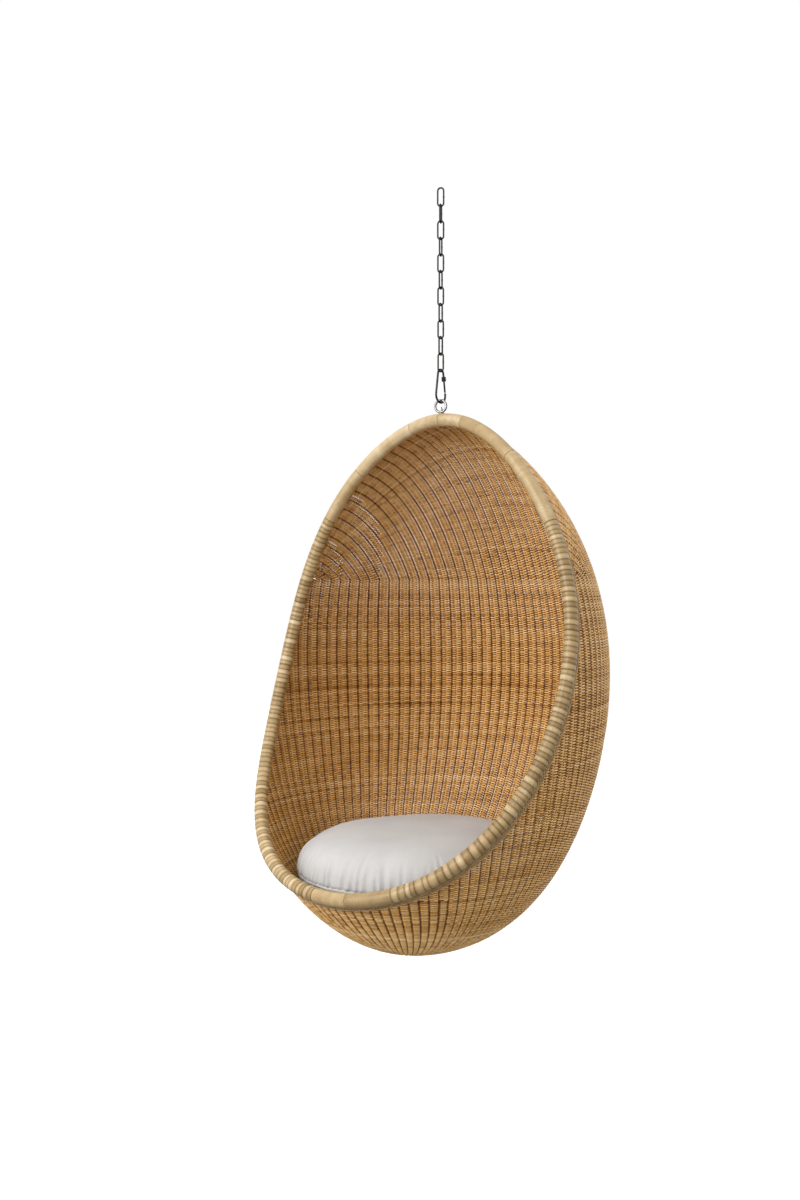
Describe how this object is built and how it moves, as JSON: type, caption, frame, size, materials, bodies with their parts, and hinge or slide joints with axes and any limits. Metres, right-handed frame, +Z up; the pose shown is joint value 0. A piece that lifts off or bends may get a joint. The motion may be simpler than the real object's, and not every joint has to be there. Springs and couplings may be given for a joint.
{
  "type": "hanging egg chair",
  "caption": "Egg-shaped woven cane hanging chair with a bound rim, round seat cushion, eye bolt, snap hook and long-link chain.",
  "frame": {"origin": "inner top of the highest chain link, where a ceiling hook carries it", "axes": "+Z up along the chain, -Y out of the open front of the egg, +X to the right of someone looking along +Y into the egg; X and Y lie level"},
  "size_m": [0.8463, 0.8346, 1.7697],
  "materials": {
    "dark_chain_steel": "satin",
    "black_hook_steel": "satin",
    "rivet_steel": "satin",
    "bright_eye_steel": "polished",
    "plated_steel": "satin",
    "rim_metal": "satin",
    "pale_peel": "satin",
    "woven_cane": "matte",
    "border_cane": "matte",
    "cushion_cloth": "matte",
    "cushion_fibre": "matte"
  },
  "bodies": {
    "hanging_link": {"chain_link_01": "dark_chain_steel"},
    "link_02": {"chain_link_02": "dark_chain_steel"},
    "chain": {"chain_link_03": "dark_chain_steel", "chain_link_04": "dark_chain_steel", "chain_link_05": "dark_chain_steel", "chain_link_06": "dark_chain_steel", "chain_link_07": "dark_chain_steel", "chain_link_08": "dark_chain_steel", "chain_link_09": "dark_chain_steel", "chain_link_10": "dark_chain_steel", "chain_link_11": "dark_chain_steel"},
    "hook": {"snap_hook": "black_hook_steel", "gate_rivet": "rivet_steel"},
    "gate": {"snap_gate": "black_hook_steel"},
    "egg_chair": {"eye_bolt": "bright_eye_steel", "eye_washer": "plated_steel", "eye_nut": "plated_steel", "rim_pole": "rim_metal", "rim_binding_01": "pale_peel", "rim_binding_02": "pale_peel", "rim_binding_03": "pale_peel", "rim_binding_04": "pale_peel", "rim_binding_05": "pale_peel", "rim_binding_06": "pale_peel", "rim_binding_07": "pale_peel", "rim_binding_08": "pale_peel", "rim_binding_09": "pale_peel", "rim_binding_10": "pale_peel", "rim_binding_11": "pale_peel", "rim_binding_12": "pale_peel", "rim_binding_13": "pale_peel", "woven_shell": "woven_cane", "border_braid": "border_cane"},
    "seat_cushion": {"cushion_top_panel": "cushion_cloth", "cushion_bottom_panel": "cushion_cloth", "cushion_filling": "cushion_fibre", "cushion_piping": "cushion_cloth"}
  },
  "joints": [
    {"name": "link_02_swing", "type": "hinge", "parent": "hanging_link", "child": "link_02", "pos_m": [0, 0, -0.0413], "axis": [0.9135, 0.4067, 0], "range_deg": [-20, 20]},
    {"name": "chain_swing", "type": "hinge", "parent": "link_02", "child": "chain", "pos_m": [0, 0, -0.0803], "axis": [-0.3567, 0.9342, 0], "range_deg": [-20, 20]},
    {"name": "hook_swing", "type": "hinge", "parent": "chain", "child": "hook", "pos_m": [0, 0, -0.4313], "axis": [0.9976, 0.0698, 0], "range_deg": [-20, 20]},
    {"name": "gate_hinge", "type": "hinge", "parent": "hook", "child": "gate", "pos_m": [0, 0.0122, -0.448], "axis": [-1, 0, 0], "range_deg": [0, 24], "stiffness_Nm_per_rad": 0.05, "springref_deg": -8.59},
    {"name": "chair_swing", "type": "hinge", "parent": "hook", "child": "egg_chair", "pos_m": [0, 0, -0.5049], "axis": [0, 1, 0], "range_deg": [-20, 20]},
    {"name": "cushion_lift", "type": "slide", "parent": "egg_chair", "child": "seat_cushion", "axis": [0, 0, 1], "range_m": [0, 0.22]}
  ]
}
